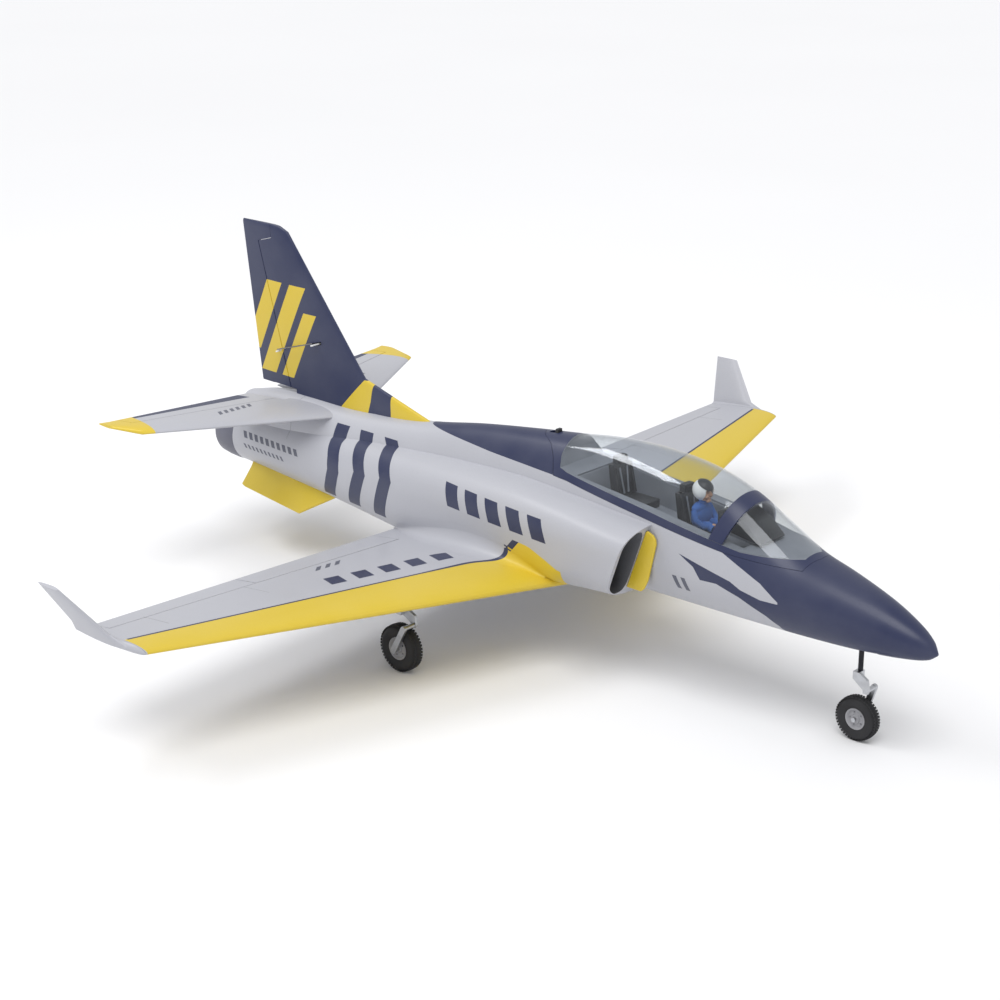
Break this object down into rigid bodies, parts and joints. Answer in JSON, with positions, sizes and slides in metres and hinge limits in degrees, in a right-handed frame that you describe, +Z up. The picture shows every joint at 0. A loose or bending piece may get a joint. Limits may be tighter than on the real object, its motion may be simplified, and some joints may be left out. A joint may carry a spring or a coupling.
{
  "type": "rc jet plane",
  "caption": "Foam ducted-fan sport jet with side intakes, tandem canopy, swept tail, winglets and retractable trailing-link landing gear.",
  "frame": {"origin": "centre of the bounding box at the ground, which is the underside of the tyres", "axes": "+X toward the port wing tip, -Y toward the nose, +Z up"},
  "size_m": [1.1012, 1.028, 0.4],
  "materials": {
    "grey_foam": "satin",
    "navy_foam": "satin",
    "yellow_foam": "satin",
    "nozzle_grey": "satin",
    "dark_plastic": "satin",
    "white_plastic": "satin",
    "cockpit_grey": "matte",
    "clear_canopy": "gloss",
    "pilot_suit": "matte",
    "carbon_tube": "gloss",
    "alloy": "satin",
    "steel_wire": "satin",
    "plywood": "matte",
    "battery_wrap": "gloss",
    "tyre_rubber": "matte",
    "hub_grey": "satin"
  },
  "bodies": {
    "airframe": {"nose_cone": "navy_foam", "front_fuselage": "grey_foam", "rear_fuselage": "grey_foam", "exhaust_nozzle": "nozzle_grey", "thrust_tube": "dark_plastic", "intake_splitter_left": "yellow_foam", "intake_splitter_right": "yellow_foam", "wing_left": "grey_foam", "wing_right": "grey_foam", "winglet_left": "grey_foam", "winglet_right": "grey_foam", "wing_spar": "carbon_tube", "tailplane_left": "grey_foam", "tailplane_right": "grey_foam", "tail_fin": "navy_foam", "ventral_fin_left": "yellow_foam", "ventral_fin_right": "yellow_foam", "fan_housing": "dark_plastic", "fan_motor": "alloy", "battery_tray": "plywood", "flight_battery": "battery_wrap", "speed_controller": "dark_plastic", "receiver": "cockpit_grey", "nose_retract": "dark_plastic", "main_retract_left": "dark_plastic", "main_retract_right": "dark_plastic", "rudder_servo": "dark_plastic"},
    "hatch": {"canopy_hatch": "navy_foam", "cockpit_tub": "cockpit_grey", "canopy_glass": "clear_canopy", "canopy_arch": "navy_foam", "windscreen": "clear_canopy", "front_seat": "dark_plastic", "rear_seat": "dark_plastic", "pilot_figure": "pilot_suit", "instrument_hood": "dark_plastic"},
    "latch": {"hatch_latch": "dark_plastic"},
    "left_aileron": {"aileron_left": "grey_foam"},
    "right_aileron": {"aileron_right": "grey_foam"},
    "left_flap": {"flap_left": "grey_foam"},
    "right_flap": {"flap_right": "grey_foam"},
    "left_elevator": {"elevator_left": "grey_foam"},
    "right_elevator": {"elevator_right": "grey_foam"},
    "rudder": {"rudder": "navy_foam"},
    "servo_arm": {"rudder_servo_arm": "white_plastic"},
    "pushrod": {"rudder_pushrod": "steel_wire"},
    "fan": {"fan_rotor": "dark_plastic"},
    "nose_carrier": {"nose_trunnion": "alloy"},
    "nose_leg": {"nose_strut": "alloy"},
    "nose_arm": {"nose_trailing_arm": "alloy"},
    "nose_wheel": {"nose_tyre": "tyre_rubber", "nose_wheel_hub": "hub_grey"},
    "left_leg": {"main_strut_left": "alloy"},
    "right_leg": {"main_strut_right": "alloy"},
    "left_arm": {"main_trailing_arm_left": "alloy"},
    "right_arm": {"main_trailing_arm_right": "alloy"},
    "left_wheel": {"main_tyre_left": "tyre_rubber", "main_wheel_hub_left": "hub_grey"},
    "right_wheel": {"main_tyre_right": "tyre_rubber", "main_wheel_hub_right": "hub_grey"}
  },
  "joints": [
    {"name": "hatch_lift", "type": "slide", "parent": "airframe", "child": "hatch", "axis": [0, 0, 1], "range_m": [0, 0.08]},
    {"name": "latch_slide", "type": "slide", "parent": "hatch", "child": "latch", "axis": [0, 1, 0], "range_m": [0, 0.006], "stiffness_N_per_m": 40, "springref_m": -0.01},
    {"name": "left_aileron_hinge", "type": "hinge", "parent": "airframe", "child": "left_aileron", "pos_m": [0.305, 0.12718, 0.10791], "axis": [0.9982, -0.0242, 0.0549], "range_deg": [-20, 20]},
    {"name": "right_aileron_hinge", "type": "hinge", "parent": "airframe", "child": "right_aileron", "pos_m": [-0.305, 0.12718, 0.10791], "axis": [0.9982, 0.0242, -0.0549], "range_deg": [-20, 20]},
    {"name": "left_flap_hinge", "type": "hinge", "parent": "airframe", "child": "left_flap", "pos_m": [0.088, 0.13245, 0.09597], "axis": [-0.9982, 0.0242, -0.0549], "range_deg": [0, 35]},
    {"name": "right_flap_hinge", "type": "hinge", "parent": "airframe", "child": "right_flap", "pos_m": [-0.088, 0.13245, 0.09597], "axis": [-0.9982, -0.0242, 0.0549], "range_deg": [0, 35]},
    {"name": "left_elevator_hinge", "type": "hinge", "parent": "airframe", "child": "left_elevator", "pos_m": [0.024, 0.40545, 0.19133], "axis": [0.9689, 0.2475, 0.0048], "range_deg": [-15, 15]},
    {"name": "right_elevator_hinge", "type": "hinge", "parent": "airframe", "child": "right_elevator", "pos_m": [-0.024, 0.40545, 0.19133], "axis": [0.9689, -0.2475, -0.0048], "range_deg": [-15, 15]},
    {"name": "rudder_hinge", "type": "hinge", "parent": "airframe", "child": "rudder", "pos_m": [0, 0.402, 0.206], "axis": [0, 0.2858, 0.9583], "range_deg": [-20, 20]},
    {"name": "rudder_servo_turn", "type": "hinge", "parent": "airframe", "child": "servo_arm", "pos_m": [0, 0.35098, 0.26586], "axis": [0, 0.2858, 0.9583], "range_deg": [-20, 20]},
    {"name": "pushrod_swing", "type": "hinge", "parent": "servo_arm", "child": "pushrod", "pos_m": [-0.012, 0.35161, 0.26797], "axis": [0, 0.2858, 0.9583], "range_deg": [-20, 20]},
    {"name": "fan_spin", "type": "hinge", "parent": "airframe", "child": "fan", "pos_m": [0, 0.088, 0.128], "axis": [0, 1, 0], "continuous": true},
    {"name": "nose_retract_turn", "type": "hinge", "parent": "airframe", "child": "nose_carrier", "pos_m": [0, -0.428, 0.12], "axis": [1, 0, 0], "range_deg": [0, 88]},
    {"name": "nose_steer", "type": "hinge", "parent": "nose_carrier", "child": "nose_leg", "pos_m": [0, -0.428, 0.1], "axis": [0, 0, 1], "range_deg": [-18, 18]},
    {"name": "nose_suspension", "type": "hinge", "parent": "nose_leg", "child": "nose_arm", "pos_m": [0, -0.44, 0.058], "axis": [1, 0, 0], "range_deg": [0, 12], "stiffness_Nm_per_rad": 0.6, "springref_deg": -6.88},
    {"name": "nose_wheel_spin", "type": "hinge", "parent": "nose_arm", "child": "nose_wheel", "pos_m": [0, -0.429, 0.024], "axis": [1, 0, 0], "continuous": true},
    {"name": "left_retract_turn", "type": "hinge", "parent": "airframe", "child": "left_leg", "pos_m": [0.19, 0.027, 0.095], "axis": [0, 1, 0], "range_deg": [0, 88]},
    {"name": "right_retract_turn", "type": "hinge", "parent": "airframe", "child": "right_leg", "pos_m": [-0.19, 0.027, 0.095], "axis": [0, -1, 0], "range_deg": [0, 88]},
    {"name": "left_suspension", "type": "hinge", "parent": "left_leg", "child": "left_arm", "pos_m": [0.19, 0.0115, 0.056], "axis": [1, 0, 0], "range_deg": [0, 12], "stiffness_Nm_per_rad": 1.5, "springref_deg": -8.59},
    {"name": "right_suspension", "type": "hinge", "parent": "right_leg", "child": "right_arm", "pos_m": [-0.19, 0.0115, 0.056], "axis": [1, 0, 0], "range_deg": [0, 12], "stiffness_Nm_per_rad": 1.5, "springref_deg": -8.59},
    {"name": "left_wheel_spin", "type": "hinge", "parent": "left_arm", "child": "left_wheel", "pos_m": [0.19, 0.027, 0.027], "axis": [1, 0, 0], "continuous": true},
    {"name": "right_wheel_spin", "type": "hinge", "parent": "right_arm", "child": "right_wheel", "pos_m": [-0.19, 0.027, 0.027], "axis": [1, 0, 0], "continuous": true}
  ],
  "couplings": [
    {"joint": "right_aileron_hinge", "follows": "left_aileron_hinge", "ratio": -1},
    {"joint": "right_flap_hinge", "follows": "left_flap_hinge", "ratio": 1},
    {"joint": "right_elevator_hinge", "follows": "left_elevator_hinge", "ratio": 1},
    {"joint": "rudder_servo_turn", "follows": "rudder_hinge", "ratio": 1},
    {"joint": "pushrod_swing", "follows": "rudder_hinge", "ratio": -1},
    {"joint": "nose_steer", "follows": "rudder_hinge", "ratio": -0.9},
    {"joint": "left_retract_turn", "follows": "nose_retract_turn", "ratio": 1},
    {"joint": "right_retract_turn", "follows": "nose_retract_turn", "ratio": 1}
  ]
}
